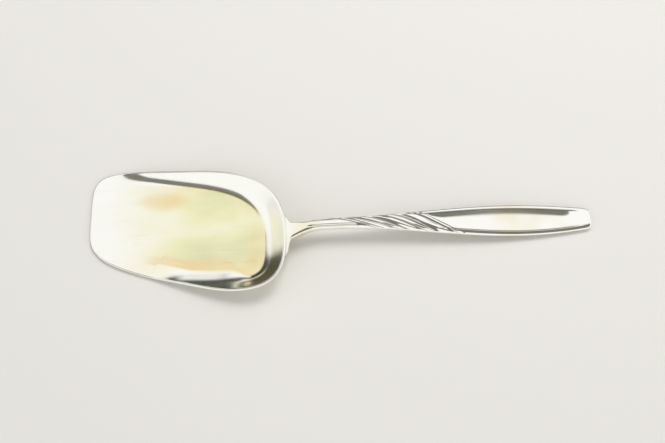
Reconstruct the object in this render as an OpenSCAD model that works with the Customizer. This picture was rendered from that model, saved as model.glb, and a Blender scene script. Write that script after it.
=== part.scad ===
// Tomato server: a shovel bowl raised from sheet, a struck handle and the solder film that joins them.
// Millimetres. +X runs along the handle to its end, +Y is the straight side of the bowl, +Z is up.
// The origin lies on the flat underside of the bowl, on the line of the handle.

/* [Bowl] */
// Length of the bowl from the front lip to the heel
bowl_length = 77; // [66:0.5:90]
// Width of the bowl's outline at the front, before its corners are rounded
front_width = 40; // [34:0.2:46]
// Width of the bowl's outline at the heel, before its corners are rounded
heel_width = 57.6; // [50:0.2:64]
// How far the middle of the front lip lies to the +Y side of the handle's line
front_shift = 10.7; // [0:0.1:13]
// How far the middle of the heel lies to the -Y side of the handle's line
heel_shift = 4.6; // [0:0.1:5.5]
// Squareness of the front corners (2 is an ellipse)
front_square = 4.8; // [3:0.1:6]
// Squareness of the heel corners (2 is an ellipse)
heel_square = 2.7; // [2.4:0.1:3.6]
// Distance from the front lip back to the origin
lip_to_origin = 36; // [30:0.5:42]

/* [Walls of the bowl] */
// Height of the wall above the floor at the heel
wall_height = 7.7; // [5.5:0.1:10]
// Slope of the wall above the floor, in degrees
wall_angle = 50; // [42:1:60]
// Half-width of the fillet between floor and wall
wall_fillet = 2.5; // [1.6:0.1:3.2]
// Distance behind the lip at which the wall starts to rise
wall_start = 9.5; // [6:0.5:14]
// Length over which the wall steepens to its full slope
wall_lead = 13; // [9:0.5:20]
// Slope of the wall on the -Y side, in degrees
near_angle = 34; // [30:1:42]
// Half-width of the fillet on the -Y side
near_fillet = 4; // [3:0.1:4.6]
// Distance behind the lip at which the wall on the -Y side starts to rise
near_start = 24.5; // [18:0.5:30]
// Thickness of the floor
floor_thick = 1.3; // [1:0.05:1.8]
// Thickness of the rim
rim_thick = 1.2; // [0.9:0.05:1.5]
// Thickness of the front lip
lip_thick = 0.9; // [0.6:0.05:1.1]
// Length of the draw down to the front lip
lip_run = 6; // [4:0.5:9]
// Height of wall over which the lip thickens to the rim
lip_rise = 2; // [1:0.1:3]
// Depth of metal planished off the underside to leave its resting flat
planish = 0.3; // [0.15:0.05:0.45]

/* [Root] */
// Width of the handle's root along the heel
root_width = 18; // [14:0.5:22]
// Length over which the root's fillets run out on the heel
root_fillet = 2.3; // [1.4:0.1:3.2]
// Length over which the root's long sweep runs out on the -Y side
root_sweep = 14.7; // [9:0.1:17]
// Extra width of the long sweep where it leaves the heel
root_flare = 4.8; // [3:0.1:6.4]
// Plan width of the heel's wall that the root covers, from the rim down
root_run = 3; // [2.2:0.1:3.6]
// Length over which the root's square section turns oval
root_turn = 10; // [8:0.5:14]
// Thickness of the solder film
solder_gap = 0.12; // [0.06:0.02:0.3]

/* [Handle] */
// Length of the handle from the heel to its end
handle_length = 119.5; // [100:0.5:140]
// Width of the neck
neck_width = 4.5; // [3.6:0.1:5.6]
// Depth of the neck from top to underside
neck_depth = 3.3; // [2.6:0.1:4]
// Height of the neck's underside above the table
neck_rise = 5.2; // [4:0.1:7]
// Distance from the heel to the slenderest place of the neck
neck_at = 18; // [15:0.5:22]
// Greatest width of the handle
panel_width = 13.1; // [10:0.1:16]
// Distance from the handle's end to its greatest width
panel_at = 31; // [24:0.5:38]
// Width of the handle's end, before its corners are rounded
end_width = 8.4; // [7:0.1:10]
// Length over which the handle's end is rounded
end_round = 4.7; // [3.5:0.1:8]
// Depth of the handle at its end
end_depth = 2.2; // [1.8:0.1:2.8]

/* [Panel] */
// Width of the raised border along each edge of the panel
border_width = 1.5; // [1:0.1:2]
// Height of the step from the border down to the panel
panel_sink = 0.15; // [0.05:0.05:0.4]
// Depth of the hollow between the borders
dish_depth = 0.6; // [0.3:0.05:0.7]
// Distance before the end of the twist at which the panel starts to sink
panel_lead = 8; // [4:0.5:12]
// Length over which the panel sinks to its full depth
panel_run_in = 14; // [8:0.5:18]
// Length over which the panel rises again towards the handle's end
panel_run_out = 6; // [3:0.5:9]
// Distance from the handle's end at which the panel runs out
panel_end = 3; // [2.5:0.5:8]

/* [Rib and leaf twist] */
// Half-width of the rib on the neck, to the middle of the groove beside it
rib_half = 1.2; // [0.9:0.1:1.5]
// Half-width of each groove beside the rib
groove_half = 0.5; // [0.3:0.05:0.7]
// Depth of each groove
groove_depth = 0.3; // [0.1:0.05:0.45]
// Distance from the heel at which the grooves start
groove_start = 7; // [5:0.5:9]
// Length over which a groove deepens or runs out
groove_run = 5; // [3:0.5:8]
// Distance from the heel to the start of the leaf twist
twist_at = 25; // [22:0.5:30]
// Length of the leaf twist
twist_length = 31; // [26:1:42]
// Number of lapped leaves in the twist
leaf_count = 3; // [2:1:4]
// Height of the leaves
leaf_relief = 0.5; // [0.2:0.05:0.6]
// How far a leaf runs along the handle between its middle and one edge
leaf_sweep = 11; // [6:0.5:12]
// Length over which the leaves rise out of the neck
leaf_run = 4; // [2:0.5:8]

/* [Hidden] */

silver = [0.90, 0.89, 0.85];
solder = [0.82, 0.81, 0.77];

half_length = bowl_length / 2;
bowl_mid_x = half_length - lip_to_origin;
heel_x = bowl_length - lip_to_origin;
end_x = heel_x + handle_length;
wall_slope = tan(wall_angle);
near_slope = tan(near_angle);

// Steps along the root, down the root, and along each stretch of the outline
root_steps = 20;
root_rows = 4;
heel_steps = 6;
side_steps = 11;
front_steps = 9;

function mix(a, b, t) = a + (b - a) * t;
function clamp(t) = min(1, max(0, t));
function ease(t) = let (c = clamp(t)) c * c * (3 - 2 * c);

// Bowl outline: a tapered superellipse whose middle line leans from the heel to the front lip.
function middle(x) = mix(front_shift, -heel_shift, (x + half_length) / bowl_length);
function outline_at(angle) =
    let (
        c = cos(angle),
        s = sin(angle),
        n = c >= 0 ? heel_square : front_square,
        x = half_length * sign(c) * pow(abs(c), 2 / n),
        half_width = mix(front_width, heel_width, (x + half_length) / bowl_length) / 2,
        y = half_width * sign(s) * pow(abs(s), 2 / n)
    )
    [bowl_mid_x + x, middle(x) + y];

// Angles of the outline: even steps across the root, then stretches that crowd towards the corners.
function share_angle(share, square) = asin(sign(share) * pow(abs(share), square / 2));
root_share = root_width / heel_width;
heel_corner = pow(0.5, 1 / heel_square);
front_corner = pow(0.5, 1 / front_square);
half_turn = [
    for (i = [1 : heel_steps])
        share_angle(mix(root_share, heel_corner, sin(90 * i / heel_steps)), heel_square),
    for (i = [1 : side_steps])
        90 - share_angle(heel_corner * cos(90 * i / side_steps), heel_square),
    for (i = [1 : side_steps])
        90 + share_angle(front_corner * sin(90 * i / side_steps), front_square),
    for (i = [1 : front_steps])
        180 - share_angle(front_corner * cos(90 * i / front_steps), front_square)
];
outline_angles = [
    for (i = [0 : root_steps]) share_angle(root_share * (2 * i / root_steps - 1), heel_square),
    each half_turn,
    for (i = [len(half_turn) - 2 : -1 : 0]) 360 - half_turn[i]
];
outline_count = len(outline_angles);
outline = [for (angle = outline_angles) outline_at(angle)];

function unit(v) = v / norm(v);
function inward(i) =
    let (
        ahead = outline[(i + 1) % outline_count],
        behind = outline[(i + outline_count - 1) % outline_count],
        t = unit(ahead - behind)
    )
    [-t.y, t.x];
inwards = [for (i = [0 : outline_count - 1]) inward(i)];

// Wall profile: flat floor, parabolic fillet and straight wall.
// down runs from 0 at the rim to 1 at the floor.
// Near the lip the wall is low and gentle, and it steepens to its full slope over the lead.
// On the -Y side it starts later, leans out further and has a softer foot.
near_sides = [for (way = inwards) ease(2 * way.y) * ease((way.x + 0.15) / 0.35)];
starts = [for (near = near_sides) mix(wall_start, near_start, near)];
fillets = [for (near = near_sides) mix(wall_fillet, near_fillet, near)];
function behind_start(i) = max(0, outline[i].x + lip_to_origin - starts[i]);
walls = [
    for (i = [0 : outline_count - 1])
        wall_height * behind_start(i) / (bowl_length - starts[i])
];
slopes = [
    for (i = [0 : outline_count - 1])
        mix(wall_slope, near_slope, near_sides[i]) * min(1, max(0.02, behind_start(i) / wall_lead))
];
function foot(i) = walls[i] / slopes[i];
function wall_run(i) = max(foot(i) + fillets[i], lip_run);
function ramp(e, w) = e >= w ? e : e <= -w ? 0 : (e + w) * (e + w) / (4 * w);
function ramp_slope(e, w) = e >= w ? 1 : e <= -w ? 0 : (e + w) / (2 * w);
function tilt(i, down) = atan(slopes[i] * ramp_slope(foot(i) - down * wall_run(i), fillets[i]));
function edge_thick(i) = mix(lip_thick, rim_thick, ease(walls[i] / lip_rise));
function thick(i, down) = mix(edge_thick(i), floor_thick + planish, down);
function edge_inset(i) = edge_thick(i) * (sin(tilt(i, 0)) + 0.43 * cos(tilt(i, 0)));

// A point of the bowl at a depth into the metal: 0 is the inner face.
function shell(i, down, depth) =
    let (
        a = tilt(i, down),
        inset = edge_inset(i) + down * wall_run(i) - depth * sin(a),
        lift = slopes[i] * ramp(foot(i) - down * wall_run(i), fillets[i]),
        z = floor_thick + lift - depth * cos(a),
        p = outline[i] + inset * inwards[i]
    )
    [p.x, p.y, z];
function inner(i, down) = shell(i, down, 0);
function outer(i, down, proud = 0) = shell(i, down, thick(i, down) + proud);

// The rolled edge between the inner and the outer face of the rim.
function rolled(i, turn) =
    let (
        a = tilt(i, 0),
        half = edge_thick(i) / 2,
        from_inner = half * (1 - cos(turn)),
        bulge = half * sin(turn),
        p = shell(i, 0, from_inner) - concat(bulge * cos(a) * inwards[i], -bulge * sin(a))
    )
    p;

// Rows of the profile: the root's rows below the rim, then the wall and its fillet.
root_middle = root_steps / 2;
root_down = root_run / wall_run(root_middle);
root_downs = [for (r = [0 : root_rows]) root_down * r / root_rows];
lower_downs = [for (r = [1 : 7]) mix(root_down, 1, r / 7)];
downs = concat(root_downs, lower_downs);
rows = len(downs);

function reversed(list) = [for (i = [len(list) - 1 : -1 : 0]) list[i]];
function ring_faces(rings, count) = [
    for (r = [0 : rings - 2], i = [0 : count - 1])
        let (a = r * count + i, b = r * count + (i + 1) % count)
        each [[a, b, b + count], [a, b + count, a + count]]
];

module bowl_blank() {
    rings = concat(
        [for (down = reversed(downs)) [for (i = [0 : outline_count - 1]) inner(i, down)]],
        [for (turn = [60, 120]) [for (i = [0 : outline_count - 1]) rolled(i, turn)]],
        [for (down = downs) [for (i = [0 : outline_count - 1]) outer(i, down)]]
    );
    last = (len(rings) - 1) * outline_count;
    polyhedron(
        points = [for (ring = rings) each ring],
        faces = concat(
            [[for (i = [outline_count - 1 : -1 : 0]) i]],
            ring_faces(len(rings), outline_count),
            [[for (i = [0 : outline_count - 1]) last + i]]
        )
    );
}

module bowl() {
    color(silver)
        difference() {
            bowl_blank();
            translate([bowl_mid_x - bowl_length, -heel_width, -bowl_length])
                cube([2 * bowl_length, 2 * heel_width, bowl_length]);
        }
}

// Root face: the patch of the heel's outer wall that the handle is soldered to.
patch_columns = root_steps + 1;
function patch(proud) = [
    for (down = root_downs, i = [0 : root_steps]) outer(i, down, proud)
];
patch_edge = concat(
    [for (i = [0 : root_steps]) i],
    [for (r = [1 : root_rows]) r * patch_columns + root_steps],
    [for (i = [root_steps - 1 : -1 : 0]) root_rows * patch_columns + i],
    [for (r = [root_rows - 1 : -1 : 1]) r * patch_columns]
);
ring_count = len(patch_edge);
function patch_faces() = [
    for (r = [0 : root_rows - 1], i = [0 : root_steps - 1])
        let (a = r * patch_columns + i, b = a + patch_columns)
        each [[a, b, b + 1], [a, b + 1, a + 1]]
];

// Handle outline and side view.
root_top = outer(root_middle, 0).z;
root_under = outer(root_middle, root_down).z;
neck_x = heel_x + neck_at;
widest_x = end_x - panel_at;
function half_width(x) =
    x < widest_x
        ? mix(neck_width, panel_width, ease((x - neck_x) / (widest_x - neck_x))) / 2
        : mix(panel_width, end_width, pow((x - widest_x) / panel_at, 2)) / 2;
function end_factor(x) =
    let (t = clamp((x - end_x + end_round) / end_round))
    pow(1 - pow(min(t, 0.985), 5), 1 / 5);
function heel_fillet(x) = pow(max(0, 1 - (x - heel_x) / root_fillet), 2);
function sweep(x) = pow(max(0, 1 - (x - heel_x) / root_sweep), 2);
north_fillet = root_width / 2 - heel_shift - neck_width / 4;
south_fillet = root_width / 2 + heel_shift - neck_width / 2 - root_flare;
function north(x) =
    half_width(x) * end_factor(x)
    - neck_width / 4 * ease((neck_x - x) / neck_at)
    + max(0, north_fillet) * heel_fillet(x);
function south(x) =
    -half_width(x) * end_factor(x)
    - root_flare * sweep(x)
    - max(0, south_fillet) * heel_fillet(x);
function under(x) =
    x < neck_x
        ? mix(root_under, neck_rise, ease((x - heel_x) / neck_at))
        : neck_rise * (1 - ease((x - neck_x) / (end_x - neck_x)));
function depth(x) =
    x < neck_x
        ? mix(root_top - root_under, neck_depth, ease((x - heel_x) / neck_at))
        : mix(neck_depth, end_depth, ease((x - neck_x) / (end_x - neck_x)));

// A station along the handle: its place, the slant of its ring, and the height of the leaf there.
// Rings lean with the leaves, so that each leaf's edge lies along a ring.
twist_x = heel_x + twist_at;
panel_x = twist_x + twist_length;
straight_x = end_x - end_round;
leaf_growth = 1.25;
// A leaf starts with a bead, dips to a hollow behind it and swells to its body.
leaf_steps = [0, 0.05, 0.1, 0.16, 0.24, 0.34, 0.46, 0.6, 0.76, 0.9];
function leaf_x(j) = twist_x + twist_length * pow(j / leaf_count, leaf_growth);
function leaf_rise(f) =
    f < 0.1 ? mix(0.35, 1, ease(f / 0.1))
    : f < 0.34 ? 1 - ease((f - 0.1) / 0.24)
    : f < 0.76 ? 0.75 * ease((f - 0.34) / 0.42)
    : mix(0.75, 0.35, ease((f - 0.76) / 0.24));
function slant_in(x) = leaf_sweep * clamp((x - heel_x) / twist_at - 0.1) / 0.9;
function slant_out(x) = leaf_sweep * ease((straight_x - x) / (straight_x - panel_x));
root_stations = [
    for (s = [0 : 13])
        let (x = heel_x + twist_at * (0.015 + 0.985 * pow(s / 14, 1.6)))
        [x, slant_in(x), 0.5]
];
leaf_stations = [
    for (j = [0 : leaf_count - 1], f = leaf_steps)
        [mix(leaf_x(j), leaf_x(j + 1), f), leaf_sweep, leaf_rise(f)]
];
// The last bead closes the twist where the panel starts.
last_leaf = leaf_x(leaf_count) - leaf_x(leaf_count - 1);
panel_stations = concat(
    [
        for (f = [0, 0.05, 0.1, 0.16])
            [panel_x + f * last_leaf, leaf_sweep, max(leaf_rise(f), 0.5)]
    ],
    [
        for (s = [1 : 14])
            let (x = mix(panel_x, straight_x, s / 15))
            [x, slant_out(x), 0.5]
    ]
);
end_stations = [for (s = [0 : 10]) [end_x - end_round * pow(1 - s / 10, 1.7), 0, 0.5]];
stations = concat(root_stations, leaf_stations, panel_stations, end_stations);

// Relief on the handle's face. v runs from -1 at the -Y edge to 1 at the +Y edge.
function border(x) = min(border_width, 0.3 * half_width(x));
function panel_fade(x) =
    ease((x - panel_x + panel_lead) / panel_run_in)
    * ease((end_x - panel_end - x) / panel_run_out);
function panel_relief(x, v) =
    let (
        b = border(x) / half_width(x),
        step = clamp((1 - abs(v) - b) / (0.25 * b)),
        across = v / (1 - 1.1 * b)
    )
    -panel_fade(x) * (panel_sink * step + dish_depth * max(0, 1 - across * across));
function rib_fade(place, x) =
    ease((x - heel_x - groove_start) / groove_run)
    * ease((twist_x - place) / groove_run);
function rib_relief(place, x, y) =
    -groove_depth * rib_fade(place, x) * max(0, 1 - abs(abs(y) - rib_half) / groove_half);
function leaf_fade(x, v) = ease((x - twist_x + leaf_run) / leaf_run) * (1 - pow(abs(v), 6));
function relief(station, x, y, v) =
    panel_relief(station[0], v)
    + rib_relief(station[0], x, y)
    + leaf_relief * (station[2] - 0.5) * leaf_fade(station[0], v);

// A cross-section of the handle, in the order of the patch's edge.
edge_v = 0.97;
function face_v(x, k) =
    let (
        b = border(x) / half_width(x),
        marks = [-edge_v, b / 2 - 1, b - 1, 1.25 * b - 1],
        last = root_steps - 3,
        even = edge_v * (2 * k / root_steps - 1),
        marked = k <= 3 ? marks[k]
            : k >= last ? -marks[root_steps - k]
            : mix(marks[3], -marks[3], (k - 3) / (last - 3))
    )
    mix(even, marked, ease((x - twist_x) / twist_length));
function squareness(x) =
    x < neck_x
        ? mix(6, 2.3, ease((x - heel_x) / root_turn))
        : mix(2.3, 3.4, ease((x - neck_x) / (widest_x - neck_x)));
function arch(v, n) = pow(max(0, 1 - pow(abs(v), n)), 1 / n);
function lean(v) = asin(0.95 * v) / asin(0.95);
function face_point(station, v, side, bump) =
    let (
        x = station[0] - station[1] * lean(v),
        y_mid = (north(x) + south(x)) / 2,
        y_half = (north(x) - south(x)) / 2,
        z_half = depth(x) / 2,
        z_mid = under(x) + z_half,
        y = y_mid + y_half * v
    )
    [x, y, z_mid + z_half * side + (bump ? relief(station, x, y, v) : 0)];
function section(station) =
    let (
        n = squareness(station[0]),
        vs = [for (k = [0 : root_steps]) face_v(station[0], k)],
        zs = [for (r = [1 : root_rows - 1]) arch(edge_v, n) * (1 - 2 * r / root_rows)]
    )
    concat(
        [for (v = vs) face_point(station, v, arch(v, n), true)],
        [for (z = zs) face_point(station, arch(z, n), z, false)],
        [for (v = reversed(vs)) face_point(station, v, -arch(v, n), false)],
        [for (z = reversed(zs)) face_point(station, -arch(z, n), z, false)]
    );

module handle() {
    cap = patch(solder_gap);
    points = concat(cap, [for (station = stations) each section(station)]);
    first = len(cap);
    last = first + (len(stations) - 1) * ring_count;
    root_faces = [
        for (k = [0 : ring_count - 1])
            let (a = patch_edge[k], b = patch_edge[(k + 1) % ring_count], c = first + k)
            let (d = first + (k + 1) % ring_count)
            each [[a, b, d], [a, d, c]]
    ];
    side_faces = [for (f = ring_faces(len(stations), ring_count)) [for (p = f) p + first]];
    color(silver)
        polyhedron(
            points = points,
            faces = concat(
                patch_faces(),
                root_faces,
                side_faces,
                [[for (k = [0 : ring_count - 1]) last + k]]
            )
        );
}

module solder_seam() {
    points = concat(patch(0), patch(solder_gap));
    other = patch_columns * (root_rows + 1);
    far_faces = [for (f = patch_faces()) [for (p = reversed(f)) p + other]];
    edge_faces = [
        for (k = [0 : ring_count - 1])
            let (a = patch_edge[k], b = patch_edge[(k + 1) % ring_count])
            each [[a, b, b + other], [a, b + other, a + other]]
    ];
    color(solder)
        polyhedron(points = points, faces = concat(patch_faces(), far_faces, edge_faces));
}

bowl();
handle();
solder_seam();
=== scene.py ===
# %% [markdown]
# # A silver tomato server
# A tomato server is a broad, shallow shovel on a slender handle. It slides under a slice of
# tomato and carries it to the plate without breaking it. This one is polished silver: a bowl
# raised from sheet, a struck handle with a twist of leaves on its neck, and the film of solder
# that holds the two together. The solids load first as a fixed frame, in metres, and every
# piece made below takes the place of one of them.

# %% Load the solids
import math
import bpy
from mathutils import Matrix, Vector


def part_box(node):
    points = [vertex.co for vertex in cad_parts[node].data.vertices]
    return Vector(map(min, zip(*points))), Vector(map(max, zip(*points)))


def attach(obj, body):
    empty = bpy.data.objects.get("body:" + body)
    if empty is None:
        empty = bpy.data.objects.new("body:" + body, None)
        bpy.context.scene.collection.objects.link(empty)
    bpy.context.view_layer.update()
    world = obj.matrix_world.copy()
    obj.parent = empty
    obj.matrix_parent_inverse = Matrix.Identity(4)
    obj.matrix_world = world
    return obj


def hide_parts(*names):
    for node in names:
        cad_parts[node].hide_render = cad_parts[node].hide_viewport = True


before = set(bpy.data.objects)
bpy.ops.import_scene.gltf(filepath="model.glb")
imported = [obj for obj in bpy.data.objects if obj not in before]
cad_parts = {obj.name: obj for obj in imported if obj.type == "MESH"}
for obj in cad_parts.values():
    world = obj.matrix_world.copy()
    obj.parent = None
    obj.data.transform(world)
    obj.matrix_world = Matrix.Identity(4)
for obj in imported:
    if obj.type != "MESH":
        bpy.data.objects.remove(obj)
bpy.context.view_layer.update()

from types import SimpleNamespace

import bmesh
import bpy
from mathutils import Vector

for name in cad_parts:
    low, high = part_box(name)
    print(name, "mm:", [round(1000 * side, 1) for side in high - low])

# %% [markdown]
# ## The camera
# The server was photographed from above, leaning over it at about 65 degrees, with its handle
# to the right. A lens of about 50 mm on a full-size sensor gives the same slight narrowing
# towards the far side. The frame is 665 by 443 pixels.

# %% Set up the camera
MM = 0.001
camera_data = bpy.data.cameras.new("camera")
camera_data.sensor_width = 36
camera_data.lens = 49.63
camera = bpy.data.objects.new("camera", camera_data)
camera.location = Vector((51.64, -148.5, 327.7)) * MM
camera.rotation_euler = (math.radians(25), 0, math.radians(-2.757))
bpy.context.scene.collection.objects.link(camera)
bpy.context.scene.camera = camera
print("camera stands", round(camera.location.length / MM), "mm from the middle of the bowl")

# %% [markdown]
# ## The outline of the bowl
# Seen from above, the bowl is a rounded oblong that widens to its heel and leans to one side,
# as a server for one hand does. A tapered superellipse gives it in one formula: a power of two
# is an ellipse, and a higher power squares the corners. Sizes are in millimetres.

# %% Draw the outline
bowl_length = 77
front_width = 40
heel_width = 57.6
front_shift = 10.7
heel_shift = 4.6
front_square = 4.8
heel_square = 2.7
lip_to_origin = 36
half_length = bowl_length / 2


def mix(a, b, t):
    return a + (b - a) * t


def clamp(t):
    return min(1.0, max(0.0, t))


def ease(t):
    t = clamp(t)
    return t * t * (3 - 2 * t)


def outline_point(ux, uy):
    x = half_length * ux
    along = (ux + 1) / 2
    y = mix(front_width, heel_width, along) / 2 * uy
    return Vector((half_length - lip_to_origin + x, mix(front_shift, -heel_shift, along) + y))


print("lip to heel:", round((outline_point(1, 0) - outline_point(-1, 0)).x, 1), "mm")

# %% [markdown]
# ## The wall of the bowl
# The floor is flat and runs out to the lip. The wall starts a little behind the lip, low and
# gentle, and steepens as it rises to its full height at the heel. A soft fillet joins it to the
# floor, because the sheet was hammered up over a stake. Each mark on the outline knows the way
# in, the height of its wall and its slope, and from these a point of the wall is found at any
# share of the way down and at any depth into the metal. On the near side the wall starts later,
# leans out further and has a softer foot, so that the server slides under a slice from there too.
# How far a mark belongs to that side comes from its way in.

# %% Work out the wall
wall_height, wall_lead, least_slope = 7.7, 13, 0.02
wall_slope, near_slope = math.tan(math.radians(50)), math.tan(math.radians(30.5))
wall_fillet, near_fillet = 2.5, 4
wall_start, near_start = 9.5, 24.5
near_from, near_blend = -0.15, 0.35
floor_thick, rim_thick, lip_thick = 1.3, 1.2, 0.9
lip_run, lip_rise = 6, 2
planish, rim_round = 0.3, 0.43


def make_mark(point, way):
    inward = Vector((-way.y, way.x)).normalized()
    near = ease(2 * inward.y) * ease((inward.x - near_from) / near_blend)
    start = mix(wall_start, near_start, near)
    behind = max(0.0, point.x + lip_to_origin - start)
    wall = wall_height * behind / (bowl_length - start)
    slope = mix(wall_slope, near_slope, near) * min(1.0, max(least_slope, behind / wall_lead))
    fillet = mix(wall_fillet, near_fillet, near)
    run = max(wall / slope + fillet, lip_run)
    return SimpleNamespace(
        point=point, inward=inward, wall=wall, slope=slope, fillet=fillet, run=run,
    )


def steepness(mark, down):
    rise = mark.wall / mark.slope - down * mark.run
    return rise, clamp((rise + mark.fillet) / (2 * mark.fillet))


def wall_tilt(mark, down):
    return math.atan(mark.slope * steepness(mark, down)[1])


def edge_thickness(mark):
    return mix(lip_thick, rim_thick, ease(mark.wall / lip_rise))


def wall_thickness(mark, down):
    return mix(edge_thickness(mark), floor_thick + planish, down)


def wall_point(mark, down, depth):
    rise, share = steepness(mark, down)
    lift = rise if rise >= mark.fillet else mark.fillet * share ** 2
    tilt, top_tilt = wall_tilt(mark, down), wall_tilt(mark, 0)
    rim_inset = edge_thickness(mark) * (math.sin(top_tilt) + rim_round * math.cos(top_tilt))
    place = mark.point + mark.inward * (rim_inset + down * mark.run - depth * math.sin(tilt))
    return Vector((place.x, place.y, floor_thick + mark.slope * lift - depth * math.cos(tilt))) * MM


heel_mark = make_mark(outline_point(1, 0), Vector((0, 1)))
print("height at the heel:", round(wall_point(heel_mark, 0, 0).z / MM, 2), "mm")

# %% [markdown]
# ## Stepping round the outline
# A smith steps round the rim with dividers to mark even spaces. Here each quarter of the
# outline is drawn finely, and marks are set along it at even steps.

# %% Set out the marks
MARKS = 260


def quarter(square, steps=300):
    corner = 0.5 ** (1 / square)
    shares = [corner * step / steps for step in range(steps + 1)]
    others = [(1 - share ** square) ** (1 / square) for share in shares]
    return list(zip(others, shares)) + list(zip(reversed(shares), reversed(others)))


heel, front = quarter(heel_square), quarter(front_square)
unit_outline = heel + [(-x, y) for x, y in reversed(front)]
unit_outline += [(-x, -y) for x, y in front] + [(x, -y) for x, y in reversed(heel)]
fine = [outline_point(ux, uy) for ux, uy in unit_outline]
lengths = [0.0]
for before, after in zip(fine, fine[1:]):
    lengths.append(lengths[-1] + (after - before).length)
spaced, step = [], 0
for number in range(MARKS):
    target = lengths[-1] * number / MARKS
    while lengths[step + 1] <= target:
        step += 1
    share = (target - lengths[step]) / (lengths[step + 1] - lengths[step])
    spaced.append(fine[step].lerp(fine[step + 1], share))
marks = [make_mark(spaced[k], spaced[(k + 1) % MARKS] - spaced[k - 1]) for k in range(MARKS)]
print("round the rim:", round(lengths[-1], 1), "mm in", MARKS, "steps")

# %% [markdown]
# ## Raising the bowl
# A silversmith works a bowl ring by ring, from the floor up to the rim. The same is done here:
# a circle becomes the edge of the floor, and each extrusion lays the next ring, up the inner
# wall, over the rounded rim and down the outer wall to the flat that it rests on. How far down
# the outer wall meets that flat is found by halving the gap again and again.

# %% Work out the rim and the flat
HALVINGS = 30


def rim_point(mark, turn):
    tilt, thick = wall_tilt(mark, 0), edge_thickness(mark)
    out = rim_round * thick * math.sin(turn) * MM
    flat = mark.inward * out * math.cos(tilt)
    edge = wall_point(mark, 0, thick / 2 * (1 - math.cos(turn)))
    return edge + Vector((-flat.x, -flat.y, out * math.sin(tilt)))


def flat_down(mark):
    low, high = 0.0, 1.0
    for _ in range(HALVINGS):
        middle = (low + high) / 2
        if wall_point(mark, middle, wall_thickness(mark, middle)).z > 0:
            low = middle
        else:
            high = middle
    return low


flats = [flat_down(mark) for mark in marks]
print("the flat starts", round(min(flats), 2), "to", round(max(flats), 2), "of the way down")

# %% [markdown]
# Three values stay with the points for the finish: how much they belong to the floor, to the
# foot of the wall and to the rim. The foot is painted with an amber reflection, which counts
# most on the near side and towards the heel.

# %% Share out the finish
low_wall = 1.5
floor_from, floor_fade = 0.95, 0.3
foot_at, foot_fade, foot_inner, foot_on_floor = 0.92, 0.2, 0.74, 0.9
foot_start, foot_run, foot_least = -18, 8, 0.15
foot_from, foot_blend = -0.25, 0.7
rim_fade = 0.15


def foot_strength(mark):
    near = ease((mark.inward.y - foot_from) / foot_blend)
    return ease((mark.point.x - foot_start) / foot_run) * mix(foot_least, 1, near)


def inner_shares(down):
    foot = 1 - ease(abs(down - foot_at) / foot_fade)
    return {
        "floor": [1 - has * ease((floor_from - down) / floor_fade) for has in walled],
        "foot": [strength * foot for strength in feet],
        "rim": [has * (1 - ease(down / rim_fade)) for has in walled],
    }


def even_shares(floor=0.0, foot=0.0, rim=0.0):
    return {"floor": [floor] * MARKS, "foot": [foot] * MARKS, "rim": [rim] * MARKS}


walled = [ease(mark.wall / low_wall) for mark in marks]
feet = [foot_strength(mark) for mark in marks]
print("the foot counts from", round(min(feet), 2), "at the lip to", round(max(feet), 2))

# %% [markdown]
# Now the rings are laid. Every point keeps the number of its mark, so that it knows its place
# on each new ring.

# %% Lay the rings of the bowl
WALL_RINGS, RIM_RINGS, OUTER_RINGS, RIM_FADE_RINGS = 24, 8, 14, 3


def place_ring(piece, places, shares):
    shape = bmesh.from_edit_mesh(piece.data)
    number = shape.verts.layers.int["mark"]
    for point in shape.verts:
        if point.select:
            point.co = places[point[number]]
            for share, values in shares.items():
                point[shape.verts.layers.float[share]] = values[point[number]]
    bmesh.update_edit_mesh(piece.data)


def inner_ring(down):
    return [wall_point(mark, down, 0) for mark in marks]


bpy.ops.object.select_all(action="DESELECT")
bpy.ops.mesh.primitive_circle_add(vertices=MARKS, radius=20 * MM)
bowl = bpy.context.object
bowl.name = bowl.data.name = "raised_bowl"
bowl.data.attributes.new("mark", "INT", "POINT").data.foreach_set("value", range(MARKS))
for share in ("floor", "foot", "rim"):
    bowl.data.attributes.new(share, "FLOAT", "POINT")
bpy.ops.object.mode_set(mode="EDIT")
bpy.ops.mesh.select_all(action="SELECT")
place_ring(bowl, inner_ring(1), inner_shares(1))
for step in range(1, WALL_RINGS + 1):
    bpy.ops.mesh.extrude_region()
    down = 1 - step / WALL_RINGS
    place_ring(bowl, inner_ring(down), inner_shares(down))
for step in range(1, RIM_RINGS + 1):
    bpy.ops.mesh.extrude_region()
    over = [rim_point(mark, math.pi * step / RIM_RINGS) for mark in marks]
    place_ring(bowl, over, even_shares(rim=1.0))
for step in range(1, OUTER_RINGS + 1):
    bpy.ops.mesh.extrude_region()
    outer = []
    for mark, flat in zip(marks, flats):
        down = flat * step / OUTER_RINGS
        outer.append(wall_point(mark, down, wall_thickness(mark, down)))
    shares = even_shares(floor=ease(step / OUTER_RINGS), rim=1 - ease(step / RIM_FADE_RINGS))
    place_ring(bowl, outer, shares)
bpy.ops.mesh.edge_face_add()
print("bowl so far:", len(bmesh.from_edit_mesh(bowl.data).verts), "points")

# %% [markdown]
# The floor is closed from its edge to the middle. It sinks by a tenth of a millimetre, as a
# floor planished on a flat stake does, so that its mirror image has a slow change of light.

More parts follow.
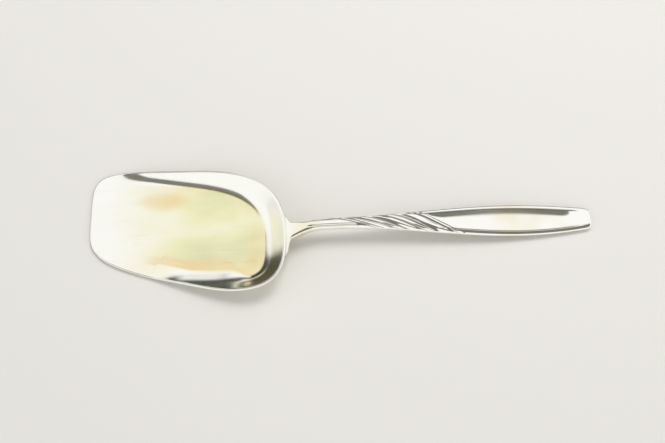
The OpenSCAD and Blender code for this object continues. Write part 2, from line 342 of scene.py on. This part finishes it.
# %% Close the floor
FLOOR_RINGS = (0.95, 0.89, 0.8, 0.66, 0.48, 0.26)
floor_sink = 0.1
floor_edge = inner_ring(1)
floor_middle = sum(floor_edge, Vector()) / MARKS
bpy.ops.mesh.select_all(action="DESELECT")
bpy.ops.mesh.select_non_manifold()
for share in FLOOR_RINGS:
    bpy.ops.mesh.extrude_region()
    sink = Vector((0, 0, -floor_sink * (1 - share * share) * MM))
    ring = [floor_middle.lerp(edge, share) + sink for edge in floor_edge]
    foot = foot_on_floor * ease((share - foot_inner) / foot_fade)
    shares = even_shares(floor=1.0)
    shares["foot"] = [strength * foot for strength in feet]
    place_ring(bowl, ring, shares)
bpy.ops.mesh.merge(type="CENTER")
bpy.ops.mesh.select_all(action="SELECT")
bpy.ops.mesh.normals_make_consistent(inside=False)
bpy.ops.object.mode_set(mode="OBJECT")
bpy.ops.object.shade_smooth_by_angle(angle=math.radians(40))
print("bowl:", len(bowl.data.polygons), "faces")

# %% [markdown]
# ## The solder at the heel
# The handle is soldered to the outside of the heel, just under the rim. A grid laid over that
# patch of the wall and thickened with Solidify is the film of solder, about a tenth of a
# millimetre thick.

# %% Lay the solder film
root_width, root_run = 18, 3
solder_gap = 0.12
COLUMNS, ROWS = 64, 8
NUDGE = 0.02
root_down = root_run / heel_mark.run


def heel_point(uy):
    return outline_point((1 - abs(uy) ** heel_square) ** (1 / heel_square), uy)


def root_place(across, lower, proud):
    uy, down = root_width * (2 * across - 1) / heel_width, root_down * lower
    mark = make_mark(heel_point(uy), heel_point(uy + NUDGE) - heel_point(uy - NUDGE))
    return wall_point(mark, down, wall_thickness(mark, down) + proud)


def root_grid(name, proud):
    bpy.ops.object.select_all(action="DESELECT")
    bpy.ops.mesh.primitive_grid_add(x_subdivisions=COLUMNS, y_subdivisions=ROWS, size=1)
    piece = bpy.context.object
    piece.name = piece.data.name = name
    shares = [(point.co.x + 0.5, 0.5 - point.co.y) for point in piece.data.vertices]
    for point, (across, lower) in zip(piece.data.vertices, shares):
        point.co = root_place(across, lower, proud)
    return piece, shares


seam, _ = root_grid("solder_film", solder_gap)
thicken = seam.modifiers.new("film", "SOLIDIFY")
thicken.thickness = solder_gap * MM
thicken.offset = -1
bpy.ops.object.modifier_apply(modifier="film")
bpy.ops.object.shade_smooth_by_angle(angle=math.radians(40))
print("solder film:", [round(side / MM, 2) for side in seam.dimensions], "mm")

# %% [markdown]
# ## The form of the handle
# The handle starts as wide as its soldered root, sweeps in to a slender neck, swells to a broad
# panel and narrows again to a squared, rounded end. From the side it rises off the heel, arches
# over and comes down so that its end touches the table. Each of these is a curve along the
# length, measured from the heel.

# %% Draw the handle's curves
handle_length = 119.5
neck_width, neck_depth, neck_rise, neck_at = 4.5, 3.3, 5.2, 18
panel_width, panel_at = 13.1, 31
end_width, end_round, end_depth = 8.4, 4.7, 2.2
end_square, end_limit = 5, 0.985
root_square, neck_square, panel_square = 6, 2.3, 3.4
root_fillet, root_sweep, root_flare, root_turn = 2.3, 14.7, 4.8, 10
heel_x = bowl_length - lip_to_origin
end_x = heel_x + handle_length
neck_x = heel_x + neck_at
widest_x = end_x - panel_at
root_top = root_place(0.5, 0, 0).z / MM
root_under = root_place(0.5, 1, 0).z / MM


def half_width(x):
    if x < widest_x:
        return mix(neck_width, panel_width, ease((x - neck_x) / (widest_x - neck_x))) / 2
    return mix(panel_width, end_width, ((x - widest_x) / panel_at) ** 2) / 2


def sides(x):
    rounding = min(clamp((x - end_x + end_round) / end_round), end_limit)
    half = half_width(x) * (1 - rounding ** end_square) ** (1 / end_square)
    fillet = max(0.0, 1 - (x - heel_x) / root_fillet) ** 2
    sweep = max(0.0, 1 - (x - heel_x) / root_sweep) ** 2
    slim = neck_width / 4 * ease((neck_x - x) / neck_at)
    north = half - slim + (root_width / 2 - heel_shift - neck_width / 4) * fillet
    flare = root_width / 2 + heel_shift - neck_width / 2 - root_flare
    return -half - root_flare * sweep - flare * fillet, north


def underside(x):
    if x < neck_x:
        return mix(root_under, neck_rise, ease((x - heel_x) / neck_at))
    return neck_rise * (1 - ease((x - neck_x) / (end_x - neck_x)))


def depth(x):
    if x < neck_x:
        return mix(root_top - root_under, neck_depth, ease((x - heel_x) / neck_at))
    return mix(neck_depth, end_depth, ease((x - neck_x) / (end_x - neck_x)))


def squareness(x):
    if x < neck_x:
        return mix(root_square, neck_square, ease((x - heel_x) / root_turn))
    return mix(neck_square, panel_square, ease((x - neck_x) / (widest_x - neck_x)))


for x in (heel_x, neck_x, widest_x, end_x):
    south, north = sides(x)
    print("at", round(x, 1), "wide", round(north - south, 1), "deep", round(depth(x), 1), "mm")

# %% [markdown]
# ## The relief on the handle
# The handle was struck in a die, which raised its ornament from the metal. Two grooves flank a
# rib on the neck, three lapped leaves twist along the handle, and a border stands round the
# hollow panel. A leaf starts with a bead, dips to a hollow behind it and swells to its
# body. Heights are worked out across the face, from -1 at the near edge to 1 at the far edge.

# %% Work out the relief
border_width, border_limit, panel_sink, dish_depth = 1.5, 0.3, 0.15, 0.6
panel_lead, panel_run_in, panel_run_out, panel_end = 8, 14, 6, 3
step_run, dish_inset, dish_run_out = 0.25, 1.1, 9
rib_half, groove_half, groove_depth, groove_start, groove_run = 1.2, 0.5, 0.3, 7, 5
twist_at, twist_length, leaf_count = 25, 31, 3
leaf_relief, leaf_sweep, leaf_run, leaf_square = 0.5, 11, 4, 6
bead_rise, bead_end, hollow_at, body_at = 0.1, 0.24, 0.44, 0.78
lap_height, body_height = 0.35, 0.75
twist_x = heel_x + twist_at
panel_x = twist_x + twist_length
straight_x = end_x - end_round


def border(x):
    return min(border_width / half_width(x), border_limit)


def panel_shown(x):
    run_in = ease((x - panel_x + panel_lead) / panel_run_in)
    return run_in * ease((end_x - panel_end - x) / panel_run_out)


def panel_relief(x, v):
    edge = border(x)
    step = ease((1 - abs(v) - edge) / (step_run * edge))
    across = v / (1 - dish_inset * edge)
    dish = dish_depth * ease((end_x - panel_end - x) / dish_run_out)
    return -panel_shown(x) * (panel_sink * step + dish * max(0.0, 1 - across * across))


def rib_relief(station_x, x, y):
    run_in = ease((x - heel_x - groove_start) / groove_run)
    shown = run_in * ease((twist_x - station_x) / groove_run)
    return -groove_depth * shown * ease(1 - abs(abs(y) - rib_half) / groove_half)


def leaf_height(share):
    if share < bead_end:
        return mix(lap_height, 1, ease(share / bead_rise))
    if share < hollow_at:
        return 1 - ease((share - bead_end) / (hollow_at - bead_end))
    if share < body_at:
        return body_height * ease((share - hollow_at) / (body_at - hollow_at))
    return mix(body_height, lap_height, ease((share - body_at) / (1 - body_at)))


def leaf_shown(x, v):
    return ease((x - twist_x + leaf_run) / leaf_run) * (1 - abs(v) ** leaf_square)


print("twist from", twist_x, "to", panel_x, "mm")

# %% [markdown]
# ## Stations along the handle
# The rings of the handle lean over with the leaves, so that the bead of a leaf runs along one
# ring and stays crisp. A station is the place of a ring, how far the ring leans, the height of
# the leaf there, and how dark the tarnish and the painted shade lie: at the lap of two leaves
# and in the hollow behind the bead.
# The bead of one more leaf closes the twist, and the panel's steps go on from there.

# %% Set out the stations
LEAF_SHARES = [0, 0.02, 0.04, 0.06, 0.08, 0.1, 0.12, 0.15, 0.18, 0.21, 0.24, 0.27, 0.3, 0.34,
               0.39, 0.44, 0.5, 0.56, 0.62, 0.68, 0.74, 0.8, 0.86, 0.92, 0.96]
NECK_RINGS, BEAD_RINGS, PANEL_RINGS, PANEL_FIRST, END_RINGS = 48, 10, 60, 3, 24
leaf_growth, level = 1.25, 0.5
first_share, lean_from = 0.015, 0.1
neck_crowding, end_crowding = 1.6, 1.7
lap_end, lap_start, lap_fade = 0.1, 0.94, 0.04
shade_start, shade_in, shade_end, shade_out, shade_dark = 0.31, 0.06, 0.54, 0.08, 0.8


def leaf_start(number):
    return twist_x + twist_length * (number / leaf_count) ** leaf_growth


# Tarnish deepened into painted shade at the lap of two leaves and in the hollow behind the bead.
def leaf_dark(share):
    lap = max(ease((lap_end - share) / lap_fade), ease((share - lap_start) / lap_fade))
    hollow = ease((share - shade_start) / shade_in) * ease((shade_end - share) / shade_out)
    return max(lap, shade_dark * hollow)


stations = []
for step in range(NECK_RINGS):
    x = heel_x + twist_at * mix(first_share, 1, (step / NECK_RINGS) ** neck_crowding)
    lean = clamp((x - heel_x) / twist_at - lean_from) / (1 - lean_from)
    stations.append((x, leaf_sweep * lean, level, 0.0))
for number in range(leaf_count):
    for share in LEAF_SHARES:
        x = mix(leaf_start(number), leaf_start(number + 1), share)
        stations.append((x, leaf_sweep, leaf_height(share), leaf_dark(share)))
last_leaf = leaf_start(leaf_count) - leaf_start(leaf_count - 1)
for share in LEAF_SHARES[:BEAD_RINGS]:
    x = panel_x + share * last_leaf
    dark = leaf_dark(share) if share < lap_end else 0.0
    stations.append((x, leaf_sweep, max(leaf_height(share), level), dark))
for step in range(PANEL_FIRST, PANEL_RINGS):
    x = mix(panel_x, straight_x, step / PANEL_RINGS)
    lean = ease((straight_x - x) / (straight_x - panel_x))
    stations.append((x, leaf_sweep * lean, level, 0.0))
for step in range(END_RINGS + 1):
    x = end_x - end_round * (1 - step / END_RINGS) ** end_crowding
    stations.append((x, 0, level, 0.0))
print(len(stations), "stations")

# %% [markdown]
# ## A cross-section
# Across the handle the section is a rounded oblong. Its face carries the relief, and its back
# is plain. The columns are closer together at the border, where the face bends most. The last
# millimetre turns down all round, as a filed and polished end does.

# %% Work out a section
EDGE, BEND = 0.97, 0.95
end_soft, end_thinnest = 0.9, 0.3
groove_dark, step_dark = 0.5, 0.8
foot_of_step, step_full, step_half = 1.2, 1.3, 0.2


def arch(v, n):
    return max(0.0, 1 - abs(v) ** n) ** (1 / n)


def face_v(x, share):
    edge, side = border(x), abs(share - 0.5)
    # Each pair is a share of the columns, from the middle, and the place across that it moves to.
    places = [(0.5, EDGE), (0.46, 0.93), (0.41, 1 - 0.55 * edge), (0.35, 1 - edge),
              (0.28, 1 - (1 + step_run) * edge), (0.0, 0.0)]
    for (outer, high), (inner, low) in zip(places, places[1:]):
        if side >= inner:
            v = mix(low, high, (side - inner) / (outer - inner))
            break
    even = EDGE * (2 * share - 1)
    return mix(even, math.copysign(v, share - 0.5), ease((x - twist_x) / twist_length))


# Tarnish and painted shade: dark in the grooves, the leaf hollows and at the foot of the panel
# step.
def recess_at(station, x, y, v):
    station_x, _, _, dark = station
    groove = -groove_dark * rib_relief(station_x, x, y) / groove_depth
    edge = border(station_x)
    off_foot = abs(1 - abs(v) - foot_of_step * edge) / (step_half * edge)
    step = panel_shown(station_x) * ease(step_full - off_foot)
    return max(groove, dark * leaf_shown(station_x, v), step_dark * step)


def section(station):
    station_x, slant, leaf, _ = station
    n = squareness(station_x)
    face = [face_v(station_x, k / COLUMNS) for k in range(COLUMNS + 1)]
    heights = [arch(EDGE, n) * (1 - 2 * r / ROWS) for r in range(1, ROWS)]
    outline = [(v, arch(v, n), True) for v in face]
    outline += [(arch(z, n), z, False) for z in heights]
    outline += [(v, -arch(v, n), False) for v in reversed(face)]
    outline += [(-arch(z, n), z, False) for z in reversed(heights)]
    points, recesses = [], []
    for v, up, struck in outline:
        x = station_x - slant * math.asin(BEND * v) / math.asin(BEND)
        y = mix(*sides(x), (v + 1) / 2)
        soft = clamp((x - end_x + end_soft) / end_soft)
        half = depth(x) / 2 * max(end_thinnest, math.sqrt(1 - soft * soft))
        z = underside(x) + depth(x) / 2 + half * up
        if struck:
            z += panel_relief(station_x, v) + rib_relief(station_x, x, y)
            z += leaf_relief * (leaf - level) * leaf_shown(station_x, v)
        points.append(Vector((x, y, z)) * MM)
        recesses.append(recess_at(station, x, y, v) if struck else 0.0)
    return points, recesses


print("points round a section:", len(section(stations[0])[0]))

# %% [markdown]
# ## Drawing out the handle
# The handle starts from the face that is soldered to the heel. The edge of that face is a ring,
# and each extrusion draws the ring on to the next station, right to the end, where a last face
# closes it. How deep each point lies in the relief stays with it, for the tarnish that polish
# never reaches at the bottom of a groove and for the painted shade laid over it in the recesses.

# %% Draw out the handle
handle, shares = root_grid("struck_handle", solder_gap)
ring_numbers = []
for across, lower in shares:
    k, r = round(across * COLUMNS), round(lower * ROWS)
    if r == 0:
        ring_numbers.append(k)
    elif k == COLUMNS:
        ring_numbers.append(COLUMNS + r)
    elif r == ROWS:
        ring_numbers.append(2 * COLUMNS + ROWS - k)
    elif k == 0:
        ring_numbers.append(2 * COLUMNS + 2 * ROWS - r)
    else:
        ring_numbers.append(-1)
handle.data.attributes.new("ring", "INT", "POINT").data.foreach_set("value", ring_numbers)
handle.data.attributes.new("recess", "FLOAT", "POINT")
bpy.ops.object.mode_set(mode="EDIT")
bpy.ops.mesh.select_mode(type="EDGE")
bpy.ops.mesh.select_all(action="DESELECT")
bpy.ops.mesh.select_non_manifold()
for station in stations:
    bpy.ops.mesh.extrude_region()
    points, recesses = section(station)
    shape = bmesh.from_edit_mesh(handle.data)
    ring = shape.verts.layers.int["ring"]
    recess = shape.verts.layers.float["recess"]
    for point in shape.verts:
        if point.select:
            point[recess] = recesses[point[ring]]
            point.co = points[point[ring]]
    bmesh.update_edit_mesh(handle.data)
bpy.ops.mesh.edge_face_add()
bpy.ops.mesh.select_all(action="SELECT")
bpy.ops.mesh.normals_make_consistent(inside=False)
bpy.ops.object.mode_set(mode="OBJECT")
bpy.ops.object.shade_smooth_by_angle(angle=math.radians(60))
print("handle:", len(handle.data.polygons), "faces")

# %% [markdown]
# ## Colours and nodes
# Colours are written as sRGB hex values, as a paint chart gives them, and turned to linear
# light once. One small function adds a node with its settings and its links. All the silver is
# metal, and wherever it was polished it has hairlines along the way of the cloth.

# %% Define the colour and node helpers
def colour(hex_value):
    parts = [int(hex_value[i:i + 2], 16) / 255 for i in (1, 3, 5)]
    linear = [p / 12.92 if p <= 0.04045 else ((p + 0.055) / 1.055) ** 2.4 for p in parts]
    return (*linear, 1.0)


def add(tree, kind, settings=None, **links):
    node = tree.nodes.new(kind)
    for key, value in (settings or {}).items():
        if isinstance(key, str) and hasattr(node, key):
            setattr(node, key, value)
        else:
            node.inputs[key].default_value = value
    for name, socket in links.items():
        key = int(name[1:]) if name[1:].isdigit() else name.replace("_", " ")
        tree.links.new(socket, node.inputs[key])
    return node


def new_material(name):
    material = bpy.data.materials.new(name)
    material.use_nodes = True
    tree = material.node_tree
    shader = tree.nodes["Principled BSDF"]
    return material, tree, shader


def new_silver(name):
    material, tree, shader = new_material(name)
    shader.inputs["Metallic"].default_value = 1.0
    place = add(tree, "ShaderNodeTexCoord").outputs["Object"]
    return material, tree, shader, place


def polish_lines(tree, place, long, apart):
    along = add(tree, "ShaderNodeMapping", {
        "Scale": (1 / (long * MM), 1 / (apart * MM), 1 / (apart * MM)),
    }, Vector=place)
    return add(tree, "ShaderNodeTexNoise", {"Scale": 1.0, "Detail": 3.0}, Vector=along.outputs[0])


print("polished silver, linear:", [round(part, 3) for part in colour("#FCFBF5")[:3]])

# %% [markdown]
# ## Polished silver, worn in use: the bowl
# Sterling silver is the whitest of metals. Polishing with rouge leaves a mirror with hairlines
# along the way that the cloth was pulled, and years in the drawer leave a straw-coloured breath
# of tarnish. At the foot of the wall an amber reflection of brown things nearby is painted in.
# The rim is rubbed white. To the eye this is a soft, warm mirror.

# %% Colour the bowl
bowl_silver, tree, shader, place = new_silver("polished_silver_bowl")

# Hairlines: 30 mm long. Real ones are about 0.05 mm apart; these are 0.7 mm, so that they show.
hairlines = polish_lines(tree, place, 30, 0.7)

# Tarnish: soft patches about 34 by 17 mm, drawn out along the polish.
drawn_out = add(tree, "ShaderNodeMapping", {
    "Scale": (1 / (34 * MM), 1 / (17 * MM), 1 / (17 * MM)),
}, Vector=place)
patches = add(tree, "ShaderNodeTexNoise", {"Scale": 1.0, "Detail": 2.0},
              Vector=drawn_out.outputs[0])
straw = add(tree, "ShaderNodeMapRange", {"From Min": 0.14, "From Max": 0.66},
            Value=patches.outputs["Fac"])

# Every slice rubs the lip clean, so the tarnish starts 8 mm behind it and grows over 36 mm.
length = add(tree, "ShaderNodeSeparateXYZ", Vector=place)
from_lip = add(tree, "ShaderNodeMapRange", {"From Min": -28 * MM, "From Max": 8 * MM},
               Value=length.outputs["X"])
bowl_floor = add(tree, "ShaderNodeAttribute", {"attribute_name": "floor"})
lain = add(tree, "ShaderNodeMath", {"operation": "MULTIPLY"},
           _0=from_lip.outputs[0], _1=bowl_floor.outputs["Fac"])
straw_share = add(tree, "ShaderNodeMath", {"operation": "MULTIPLY"},
                  _0=straw.outputs[0], _1=lain.outputs[0])
tints = add(tree, "ShaderNodeValToRGB", Fac=straw_share.outputs[0])
clean, tarnished = tints.color_ramp.elements
clean.color, tarnished.color = colour("#FCFBF5"), colour("#E3E2B9")
tints.color_ramp.elements.new(0.62).color = colour("#F2EEC4")

# Painted reflection: the foot of the wall is painted amber, for brown things nearby that show in
# it.
foot = add(tree, "ShaderNodeAttribute", {"attribute_name": "foot"})
foot_reflection_share = add(tree, "ShaderNodeMath", {"operation": "MULTIPLY"},
                  _0=foot.outputs["Fac"], _1=straw.outputs[0])
foot_amber_reflection = add(tree, "ShaderNodeMix", {"data_type": "RGBA", 7: colour("#EFD6A2")},
            _0=foot_reflection_share.outputs[0], _6=tints.outputs["Color"])

# A painted amber reflection about 20 by 9 mm on the floor by the far wall. The patches break
# up its edge. It reaches 0.8 mm down, which is less than the metal, so the underside stays clean.
reflection_patch_place = add(tree, "ShaderNodeMapping", {
    "vector_type": "TEXTURE",
    "Location": (-7 * MM, 15.6 * MM, 1.3 * MM),
    "Scale": (13.5 * MM, 6 * MM, 0.8 * MM),
}, Vector=place)
reflection_patch_way = add(tree, "ShaderNodeVectorMath", {"operation": "LENGTH"}, _0=reflection_patch_place.outputs[0])
reflection_patch_edge = add(tree, "ShaderNodeMapRange", {
    "interpolation_type": "SMOOTHSTEP", "From Min": 1.0, "From Max": 0.2, "To Max": 1.3,
}, Value=reflection_patch_way.outputs["Value"])
reflection_patch_share = add(tree, "ShaderNodeMath", {"operation": "MULTIPLY", "use_clamp": True},
                  _0=reflection_patch_edge.outputs[0], _1=straw.outputs[0])
with_reflection_patch = add(tree, "ShaderNodeMix", {"data_type": "RGBA", 7: colour("#F0DAA6")},
              _0=reflection_patch_share.outputs[0], _6=foot_amber_reflection.outputs[2])
rim = add(tree, "ShaderNodeAttribute", {"attribute_name": "rim"})
rubbed = add(tree, "ShaderNodeMix", {"data_type": "RGBA", 7: colour("#FBFAF4")},
             _0=rim.outputs["Fac"], _6=with_reflection_patch.outputs[2])
tree.links.new(rubbed.outputs[2], shader.inputs["Base Color"])
print("the bowl's colour takes", len(tree.nodes), "nodes")

# %% [markdown]
# No mirror made by hand is perfect. The hairlines and the tarnish blur it a little, planishing
# leaves slow waves in it, and forks leave a few scratches on the floor. All of these are too
# shallow to model, so they are drawn as bumps.

# %% Wear the bowl's mirror
# The blur of the hairlines and the tarnish.
blur = add(tree, "ShaderNodeMapRange", {"To Min": 0.06, "To Max": 0.20},
           Value=hairlines.outputs["Fac"])
dull = add(tree, "ShaderNodeMath", {"operation": "MULTIPLY_ADD", 1: 0.06},
           _0=straw.outputs[0], _2=blur.outputs[0])
tree.links.new(dull.outputs[0], shader.inputs["Roughness"])

# Scratches 0.1 mm wide: the edges of long cells about 26 by 7 mm, broken into short lengths so
# that few of them meet.
scraped = add(tree, "ShaderNodeMapping", {
    "Rotation": (0, 0, 0.3), "Scale": (1 / (26 * MM), 1 / (7 * MM), 1 / (7 * MM)),
}, Vector=place)
cells = add(tree, "ShaderNodeTexVoronoi", {"feature": "DISTANCE_TO_EDGE", "Scale": 1.0},
            Vector=scraped.outputs[0])
cuts = add(tree, "ShaderNodeMapRange", {"From Min": 0.008, "From Max": 0.0},
           Value=cells.outputs["Distance"])
breaks = add(tree, "ShaderNodeTexNoise", {"Scale": 1 / (7 * MM), "Detail": 0.0}, Vector=place)
short_lengths = add(tree, "ShaderNodeMapRange", {"From Min": 0.53, "From Max": 0.62},
                    Value=breaks.outputs["Fac"])
floor_cuts = add(tree, "ShaderNodeMath", {"operation": "MULTIPLY"},
                 _0=cuts.outputs[0], _1=bowl_floor.outputs["Fac"])
scratches = add(tree, "ShaderNodeMath", {"operation": "MULTIPLY"},
                _0=floor_cuts.outputs[0], _1=short_lengths.outputs[0])

# Waves about 9 mm long, with the hairlines and the scratches on them.
waves = add(tree, "ShaderNodeTexNoise", {"Scale": 1 / (9 * MM), "Detail": 1.0}, Vector=place)
wavy = add(tree, "ShaderNodeBump", {"Strength": 1.0, "Distance": 0.05 * MM},
           Height=waves.outputs["Fac"])
lined = add(tree, "ShaderNodeBump", {"Strength": 1.0, "Distance": 0.008 * MM},
            Height=hairlines.outputs["Fac"], Normal=wavy.outputs[0])
scratched = add(tree, "ShaderNodeBump", {"Strength": 1.0, "Distance": 0.01 * MM, "invert": True},
                Height=scratches.outputs[0], Normal=lined.outputs[0])
tree.links.new(scratched.outputs[0], shader.inputs["Normal"])
bowl.data.materials.append(bowl_silver)
print(bowl_silver.name, "has", len(tree.nodes), "nodes")

# %% [markdown]
# ## Polished silver, struck and worn: the handle
# The handle is the same silver. The thumb keeps its borders and its panel bright. The grooves,
# the leaf hollows and the foot of the panel's step, which no cloth reaches, are dark with tarnish,
# and painted shade deepens that dark. That dark is what makes the relief stand out.

# %% Finish the handle
handle_silver, tree, shader, place = new_silver("polished_silver_handle")

# Hairlines along the handle: 18 mm long and 0.6 mm apart, coarser than life so that they show.
hairlines = polish_lines(tree, place, 18, 0.6)

# A breath of straw tarnish in patches about 15 mm across.
patches = add(tree, "ShaderNodeTexNoise", {"Scale": 1 / (15 * MM), "Detail": 2.0}, Vector=place)
straw = add(tree, "ShaderNodeMapRange", {"From Min": 0.42, "From Max": 0.7},
            Value=patches.outputs["Fac"])
warm = add(tree, "ShaderNodeMix", {
    "data_type": "RGBA", 6: colour("#FCFBF7"), 7: colour("#F6F1DE"),
}, _0=straw.outputs[0])

# The recesses are dark with tarnish and painted shade, with a blurred mirror.
recess = add(tree, "ShaderNodeAttribute", {"attribute_name": "recess"})
tarnish_and_shade_share = add(tree, "ShaderNodeMath", {"operation": "MULTIPLY", 1: 0.8},
                 _0=recess.outputs["Fac"])
tarnish_and_painted_shade = add(tree, "ShaderNodeMix", {"data_type": "RGBA", 7: colour("#6E6858")},
               _0=tarnish_and_shade_share.outputs[0], _6=warm.outputs[2])
tree.links.new(tarnish_and_painted_shade.outputs[2], shader.inputs["Base Color"])
blur = add(tree, "ShaderNodeMapRange", {"To Min": 0.05, "To Max": 0.13},
           Value=hairlines.outputs["Fac"])
dull = add(tree, "ShaderNodeMath", {"operation": "MULTIPLY_ADD", 1: 0.18},
           _0=recess.outputs["Fac"], _2=blur.outputs[0])
tree.links.new(dull.outputs[0], shader.inputs["Roughness"])
lined = add(tree, "ShaderNodeBump", {"Strength": 1.0, "Distance": 0.003 * MM},
            Height=hairlines.outputs["Fac"])
tree.links.new(lined.outputs[0], shader.inputs["Normal"])
handle.data.materials.append(handle_silver)
print(handle_silver.name, "has", len(tree.nodes), "nodes")

# %% [markdown]
# ## Silver solder
# Solder is silver with a little zinc and copper in it, so it is a shade greyer and warmer than
# the metal that it joins, and the file leaves it less bright.

# %% Finish the solder
solder, tree, shader, place = new_silver("filed_silver_solder")

# Grains and file marks about 0.4 mm across.
grain = add(tree, "ShaderNodeTexNoise", {"Scale": 1 / (0.4 * MM), "Detail": 2.0}, Vector=place)
grey = add(tree, "ShaderNodeMix", {
    "data_type": "RGBA", 6: colour("#D9D4C4"), 7: colour("#BFB7A2"),
}, _0=grain.outputs["Fac"])
tree.links.new(grey.outputs[2], shader.inputs["Base Color"])
blur = add(tree, "ShaderNodeMapRange", {"To Min": 0.18, "To Max": 0.36}, Value=grain.outputs["Fac"])
tree.links.new(blur.outputs[0], shader.inputs["Roughness"])
filed = add(tree, "ShaderNodeBump", {"Strength": 1.0, "Distance": 0.006 * MM},
            Height=grain.outputs["Fac"])
tree.links.new(filed.outputs[0], shader.inputs["Normal"])
seam.data.materials.append(solder)
print(solder.name, "has", len(tree.nodes), "nodes")

# %% [markdown]
# ## The floor
# The server lies on plain pale paper, which takes its shadow. The paper lies a twentieth of a
# millimetre below the flat of the bowl, so that the two faces don't fight for the same place.

# %% Lay the floor
floor_size, floor_gap = 8, 0.05
bpy.ops.object.select_all(action="DESELECT")
bpy.ops.mesh.primitive_plane_add(size=floor_size, location=(0, 0, -floor_gap * MM))
floor = bpy.context.object
floor.name = floor.data.name = "floor"
paper, tree, shader = new_material("pale_paper")
shader.inputs["Base Color"].default_value = colour("#E6E4DF")
shader.inputs["Roughness"].default_value = 0.9
floor.data.materials.append(paper)
print("floor:", [round(side, 1) for side in floor.dimensions[:2]], "m")

# %% [markdown]
# ## The tent
# Polished silver shows the room more than itself, so it is photographed in a pale tent of soft
# light. A tent that is bright all round leaves a mirror with no form. The dark slot overhead
# that the camera looks through draws the line along the fillet and the shade on the panel, and
# two dark curtains low at the back draw the shade on the near wall and its corner. All have soft
# edges. Angles are in degrees: to the handle's side and to the back from overhead for the slot,
# and round from the handle and down from overhead for the curtains. The camera sees the same
# pale cloth as the silver does, but not the slot and the curtains, which would fill a low view.

# %% Hang the tent
world = bpy.data.worlds.new("tent")
bpy.context.scene.world = world
world.use_nodes = True
tree = world.node_tree
looking = add(tree, "ShaderNodeTexCoord").outputs["Generated"]
to_handle, to_back, up = add(tree, "ShaderNodeSeparateXYZ", Vector=looking).outputs
side_lean = add(tree, "ShaderNodeMath", {"operation": "ARCTAN2"}, _0=to_handle, _1=up).outputs[0]
back_lean = add(tree, "ShaderNodeMath", {"operation": "ARCTAN2"}, _0=to_back, _1=up).outputs[0]
turn = add(tree, "ShaderNodeMath", {"operation": "ARCTAN2"}, _0=to_back, _1=to_handle).outputs[0]
drop = add(tree, "ShaderNodeMath", {"operation": "ARCCOSINE"}, _0=up).outputs[0]


def between(angle, low, high, soft):
    low, high, soft = math.radians(low), math.radians(high), math.radians(soft)
    rising = {"interpolation_type": "SMOOTHSTEP", "From Min": low - soft, "From Max": low + soft}
    falling = {"interpolation_type": "SMOOTHSTEP", "From Min": high + soft, "From Max": high - soft}
    above = add(tree, "ShaderNodeMapRange", rising, Value=angle).outputs[0]
    below = add(tree, "ShaderNodeMapRange", falling, Value=angle).outputs[0]
    return add(tree, "ShaderNodeMath", {"operation": "MULTIPLY"}, _0=above, _1=below).outputs[0]


def hang(tone, first, second):
    share = add(tree, "ShaderNodeMath", {"operation": "MULTIPLY"}, _0=first, _1=second)
    return add(tree, "ShaderNodeMix", {"data_type": "RGBA", 7: colour(tone)}, _0=share.outputs[0])


cloth, slot_grey, curtain_grey = "#FEFEFD", "#7A7A70", "#45453E"
slot = hang(slot_grey, between(side_lean, -36, 36, 3), between(back_lean, -29, 13, 2))
back_curtain = hang(curtain_grey, between(turn, 40, 104, 2), between(drop, 70, 100, 4))
corner_curtain = hang(curtain_grey, between(turn, 100, 151, 2), between(drop, 52, 100, 4))
slot.inputs[6].default_value = colour(cloth)
tree.links.new(slot.outputs[2], back_curtain.inputs[6])
tree.links.new(back_curtain.outputs[2], corner_curtain.inputs[6])
backdrop = add(tree, "ShaderNodeMix", {"data_type": "RGBA", 7: colour(cloth)},
               _0=add(tree, "ShaderNodeLightPath").outputs["Is Camera Ray"],
               _6=corner_curtain.outputs[2])
tree.links.new(backdrop.outputs[2], tree.nodes["Background"].inputs["Color"])
bpy.context.scene.view_settings.view_transform = "Standard"
print("tent has", len(tree.nodes), "nodes")

# %% [markdown]
# ## The lamp
# One large soft lamp hangs high behind the server and lays a gentle shadow on the near side. A
# mirror would show its square, so the silver is set to show the tent alone.

# %% Hang the lamp
lamp_data = bpy.data.lights.new("soft_lamp", "AREA")
lamp_data.size = 0.4
lamp_data.energy = 3.0
lamp = bpy.data.objects.new("soft_lamp", lamp_data)
lamp_turn, lamp_lean, lamp_far = math.radians(56), math.radians(33), 0.9
lamp_out = math.sin(lamp_lean)
lamp_way = Vector((
    lamp_out * math.cos(lamp_turn), lamp_out * math.sin(lamp_turn), math.cos(lamp_lean),
))
lamp.location = lamp_way * lamp_far
lamp.rotation_euler = lamp_way.to_track_quat("Z", "Y").to_euler()
lamp.visible_glossy = False
bpy.context.scene.collection.objects.link(lamp)
print("lamp hangs", round(lamp.location.z, 2), "m above the floor")

# %% [markdown]
# ## Taking the solids' places
# The three pieces are soldered into one, so all of them ride on the root. Each hides the solid
# that it stands for.

# %% Fit the pieces to the frame
for piece, node, slot_name in (
    (bowl, "bowl", "bowl_silver"),
    (handle, "handle", "handle_silver"),
    (seam, "solder_seam", "silver_solder"),
):
    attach(piece, "root")
    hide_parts(node)
    print(piece.name, "stands for", node)
